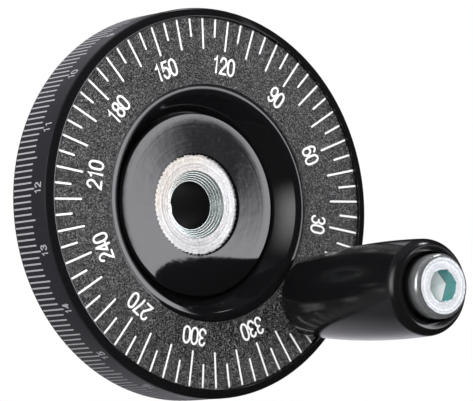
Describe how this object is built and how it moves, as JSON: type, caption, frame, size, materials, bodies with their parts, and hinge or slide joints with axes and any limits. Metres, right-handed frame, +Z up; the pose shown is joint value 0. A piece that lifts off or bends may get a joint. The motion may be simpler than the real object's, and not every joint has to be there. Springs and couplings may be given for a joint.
{
  "type": "machine handwheel",
  "caption": "Graduated machine handwheel: dished black wheel with a degree dial on its face, a numbered scale round its rim, a plain steel bore and a revolving barrel handle.",
  "frame": {"origin": "on the bore's axis, in the plane of the hub's back face", "axes": "wheel axis along Y: the dial faces -Y and the hub's back +Y; +Z up, +X to the right seen from the front; the handle stands 37 degrees below +X"},
  "size_m": [0.08, 0.0652, 0.08],
  "materials": {
    "wheel_moulding": "glossy black thermoset moulding",
    "bush_zinc": "bright zinc plating over turned steel, turning marks on the face",
    "black_steel": "black oxide",
    "dial_black": "fine textured black paint with white printed marks",
    "adhesive": "acrylic adhesive film",
    "plain_steel": "turned steel",
    "washer_nylon": "black nylon",
    "screw_zinc": "bright bluish zinc plating",
    "grip_moulding": "polished black thermoset moulding"
  },
  "bodies": {
    "wheel": {"wheel_body": "wheel_moulding", "hub_bush": "bush_zinc", "hub_set_screw": "black_steel", "dial_plate": "dial_black", "dial_adhesive_ring": "adhesive", "handle_insert": "plain_steel", "handle_sleeve": "plain_steel", "thrust_washer": "washer_nylon", "handle_screw": "screw_zinc"},
    "grip": {"handle_grip": "grip_moulding"}
  },
  "joints": [
    {"name": "grip_spin", "type": "hinge", "parent": "wheel", "child": "grip", "pos_m": [0.02491, -0.0422, -0.01877], "axis": [0, -1, 0], "continuous": true}
  ]
}
